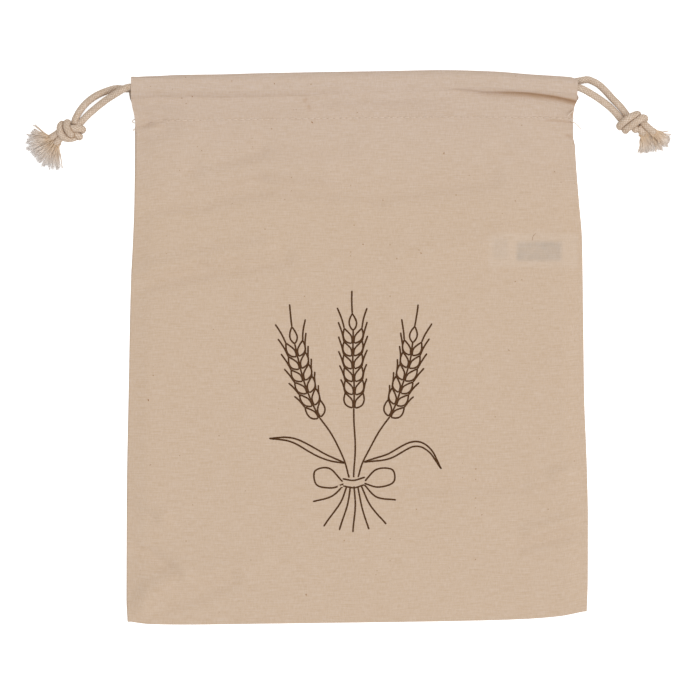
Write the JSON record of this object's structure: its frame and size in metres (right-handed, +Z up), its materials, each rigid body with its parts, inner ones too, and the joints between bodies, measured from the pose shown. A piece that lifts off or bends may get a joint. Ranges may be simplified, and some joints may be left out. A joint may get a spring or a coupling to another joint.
{
  "type": "bread bag",
  "caption": "Flat cotton drawstring bag lying on its back, with a stitched channel at the mouth and a knotted, frayed drawstring at each side.",
  "frame": {"origin": "on the surface that the bag lies on, under the middle of the flat bag without its cords", "axes": "+Z up from the surface, +Y towards the mouth of the bag, +X to the right of its printed front"},
  "size_m": [0.4247, 0.3662, 0.0155],
  "materials": {
    "cotton_cloth": "unbleached plain weave cotton, matte",
    "cotton_cord": "braided cotton cord, matte",
    "label_tape": "thin woven tape, matte",
    "print_ink": "dark brown ink in the cloth, matte"
  },
  "bodies": {
    "root": {"front_panel": "cotton_cloth", "back_panel": "cotton_cloth", "care_label": "label_tape", "left_drawstring": "cotton_cord", "right_drawstring": "cotton_cord", "left_knot": "cotton_cord", "right_knot": "cotton_cord", "left_frayed_end_1": "cotton_cord", "left_frayed_end_2": "cotton_cord", "right_frayed_end_1": "cotton_cord", "right_frayed_end_2": "cotton_cord"}
  },
  "joints": []
}
